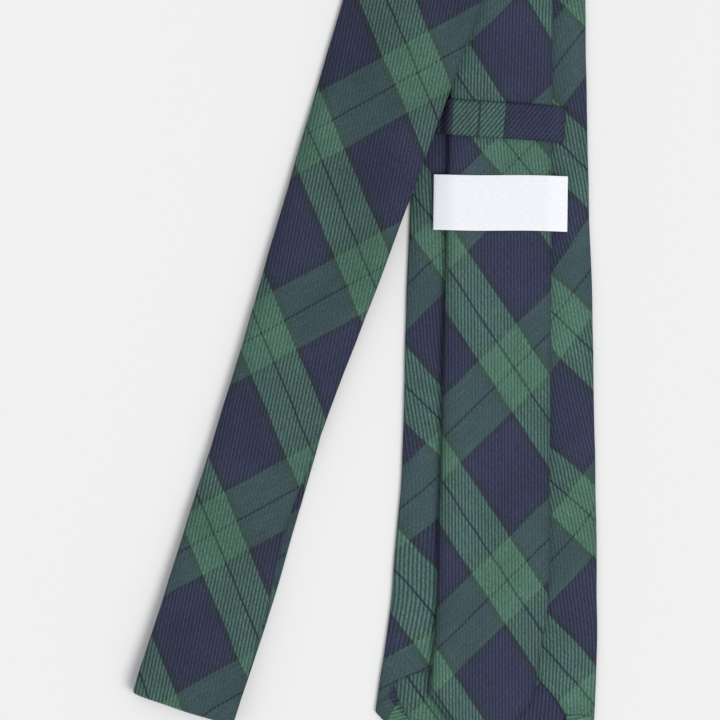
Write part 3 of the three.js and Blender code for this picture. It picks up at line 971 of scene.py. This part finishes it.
def add_camera():
    data = bpy.data.cameras.new("camera")
    data.lens, data.sensor_width = VIEW_LENS, SENSOR
    data.clip_start, data.clip_end = 0.05, 20
    camera = bpy.data.objects.new("camera", data)
    above = VIEW_WIDTH * VIEW_LENS / SENSOR + BLADE_THICKNESS
    camera.location = (VIEW_CENTRE[0] * MM, VIEW_CENTRE[1] * MM, above * MM)
    bpy.context.scene.collection.objects.link(camera)
    bpy.context.scene.camera = camera


SKY_STRENGTH = 0.66
SUN_STRENGTH = 1.68
SUN_SPREAD = 32  # degrees, as are its tilt and turn
SUN_TILT = 31
SUN_TURN = -30


def add_light():
    world = bpy.data.worlds.new("studio")
    world.use_nodes = True
    background = world.node_tree.nodes["Background"]
    background.inputs["Color"].default_value = (0.97, 0.98, 1.0, 1)
    background.inputs["Strength"].default_value = SKY_STRENGTH
    bpy.context.scene.world = world
    data = bpy.data.lights.new("softbox", "SUN")
    data.energy, data.angle = SUN_STRENGTH, math.radians(SUN_SPREAD)
    data.color = (1.0, 0.99, 0.97)
    lamp = bpy.data.objects.new("softbox", data)
    lamp.rotation_euler = (0, math.radians(SUN_TILT), math.radians(SUN_TURN))
    bpy.context.scene.collection.objects.link(lamp)


def add_floor():
    size, below = 3.0, -0.00015
    mesh = bpy.data.meshes.new("floor")
    signs = ((-1, -1), (1, -1), (1, 1), (-1, 1))
    corners = [(size * a, size * b, below) for a, b in signs]
    mesh.from_pydata(corners, [], [(0, 1, 2, 3)])
    floor = bpy.data.objects.new("floor", mesh)
    bpy.context.scene.collection.objects.link(floor)
    n = Nodes("floor")
    n.finish((0.8, 0.8, 0.8, 1), 0.9, 0.0, 0.5, 0.1)
    mesh.materials.append(n.material)


# ---- building the tie ------------------------------------------------------------------------

TURN_MARGIN = 3.2
CORE_INSET = 1.6
CORE_END = 7.0  # how far from each point the canvas stops
CORE_HEIGHTS = (-0.65, -0.1)
TIPPING_INSET = 1.9
TIPPING_END = 4.5
TIPPING_HEIGHTS = (0.0, 0.3)


def turn_span(turn):
    return turn.at - turn.half - TURN_MARGIN, turn.at + turn.half + TURN_MARGIN


def across_turn(piece, turn, lower, upper):
    """Bakes the piece's place into its mesh; it does not bend it between the bodies. lower and
    upper are not used.
    """
    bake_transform(piece)


def build_shell(twill):
    top_start, top_end = turn_span(OUTER_TURN)
    inner_start, inner_end = turn_span(INNER_TURN)
    plan = [
        ("blade_cloth", 0.0, top_start, blade_cloth, "wide_half", "blade_shell"),
        ("blade_fold_cloth", top_start, top_end, blade_cloth, OUTER_TURN, None),
        ("blade_upper_cloth", top_end, BLADE_NECK_SEAM, blade_cloth, "neck_half",
         "blade_shell_upper"),
        ("neck_cloth", BLADE_NECK_SEAM, inner_start, neck_cloth, "neck_half", "neck_shell"),
        ("neck_fold_cloth", inner_start, inner_end, neck_cloth, INNER_TURN, None),
        ("neck_lower_cloth", inner_end, NECK_TAIL_SEAM, neck_cloth, "wide_half",
         "neck_shell_lower"),
        ("tail_cloth", NECK_TAIL_SEAM, S_END, tail_cloth, "wide_half", "tail_shell"),
    ]
    for name, start, end, cloth, where, node in plan:
        piece = shell(name, start, end, cloth, twill)
        seat(piece, where)
        if node:
            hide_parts(node)


TURN_HEIGHTS = {OUTER_TURN.at: (3.0, 8.6), INNER_TURN.at: (5.5, 6.7)}


def seat(piece, where):
    if isinstance(where, Fold):
        across_turn(piece, where, *TURN_HEIGHTS[where.at])
    else:
        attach(piece, where)


def build_core(canvas):
    top_start, top_end = turn_span(OUTER_TURN)
    inner_start, inner_end = turn_span(INNER_TURN)
    plan = [
        ("blade_canvas", CORE_END, top_start, "wide_half", "blade_interlining"),
        ("blade_fold_canvas", top_start, top_end, OUTER_TURN, None),
        ("neck_canvas", top_end, inner_start, "neck_half", "neck_interlining"),
        ("neck_fold_canvas", inner_start, inner_end, INNER_TURN, None),
        ("tail_canvas", inner_end, S_END - CORE_END, "wide_half", "tail_interlining"),
    ]
    for name, start, end, where, node in plan:
        piece = strip_sheet(name, start, end, CORE_INSET, *CORE_HEIGHTS, canvas)
        seat(piece, where)
        if node:
            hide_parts(node)


def build_tippings(twill):
    grain = plan_grain(124.6, 0.82, (-24.4, 9.3), (-25.1, -13.5))
    spans = [("blade_tipping_cloth", TIPPING_END, 92.0, "blade_tipping"),
             ("tail_tipping_cloth", S_END - 62.0, S_END - TIPPING_END, "tail_tipping")]
    for name, start, end, node in spans:
        piece = strip_sheet(name, start, end, TIPPING_INSET, *TIPPING_HEIGHTS, twill, grain)
        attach(piece, "wide_half")
        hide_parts(node)


def build_sewing(navy):
    top_start, top_end = turn_span(OUTER_TURN)
    inner_start, inner_end = turn_span(INNER_TURN)
    seams = [
        ("blade_slip_thread", WIDE_TACK + 3, top_start, "wide_half", "blade_slip_stitch"),
        ("neck_slip_thread", top_end, inner_start, "neck_half", "neck_slip_stitch"),
        ("tail_slip_thread", inner_end, S_END - NARROW_TACK - 3, "wide_half",
         "tail_slip_stitch"),
    ]
    for name, start, end, body, node in seams:
        dress(slip_stitch(name, start, end, navy), body, node)
    tacks = [("blade_bar_thread", WIDE_TACK, "blade_bar_tack"),
             ("tail_bar_thread", S_END - NARROW_TACK - 1.4, "tail_bar_tack")]
    for name, at, node in tacks:
        dress(bar_tack(name, at, navy), "wide_half", node)


def dress(piece, body, node):
    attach(piece, body)
    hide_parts(node)
    return piece


KEEPER_THICK = 1.0
KEEPER_ARCH = (17.7, 3.4)  # half its level top, and the run down to the wide end
KEEPER_SHADE = 0.9
KEEPER_BAND_X = -7.7  # the middle of the keeper's green band
KEEPER_STITCHES = {"inset": 0.9, "count": 4, "reach": 4.6, "radius": 0.17}
LABEL_THICK = 0.4
LABEL_ARCH = (15.0, 15.0)
LABEL_STITCHES = {"inset": 0.8, "count": 7, "reach": 8.2, "radius": 0.1}


def keeper_cloth(x, y):
    return KEEPER_BAND_X - x, y + WEFT_REPEAT / 2


def label_cloth(x, y):
    return x, y


def keeper_bow(x, y):
    return 0.35 + 0.1 * np.cos(x / 7)


def label_bow(x, y):
    return 0.05 * np.sin(x / 9) * np.cos(y / 7)


def build_keeper(twill, navy):
    keeper = strap("keeper_cloth_loop", KEEPER, KEEPER_ARCH, KEEPER_THICK, keeper_bow,
                   keeper_cloth, twill, KEEPER_SHADE)
    dress(keeper, "wide_half", "keeper_loop")
    for side, word in ((-1, "left"), (1, "right")):
        row = strap_stitches("keeper_thread_" + word, KEEPER, KEEPER_ARCH, side, KEEPER_THICK,
                             KEEPER_STITCHES, navy)
        dress(row, "wide_half", "keeper_tack_" + word)


def build_label(satin, white):
    label = strap("label_band", LABEL, LABEL_ARCH, LABEL_THICK, label_bow, label_cloth, satin)
    dress(label, "wide_half", "label")
    for side, word in ((-1, "left"), (1, "right")):
        row = strap_stitches("label_thread_" + word, LABEL, LABEL_ARCH, side, LABEL_THICK - 0.1,
                             LABEL_STITCHES, white)
        dress(row, "wide_half", "label_stitch_" + word)


add_camera()
add_light()
add_floor()
bpy.context.scene.view_settings.view_transform = "Standard"
TWILL_CLOTH = tartan("tartan_twill")
NAVY_THREAD = thread_material("navy_thread", NAVY_YARN)
build_shell(TWILL_CLOTH)
build_core(interlining_material())
build_tippings(tartan("tipping_twill", 0.95))
build_sewing(NAVY_THREAD)
build_keeper(TWILL_CLOTH, NAVY_THREAD)
build_label(label_satin(), thread_material("white_thread", WHITE_YARN))
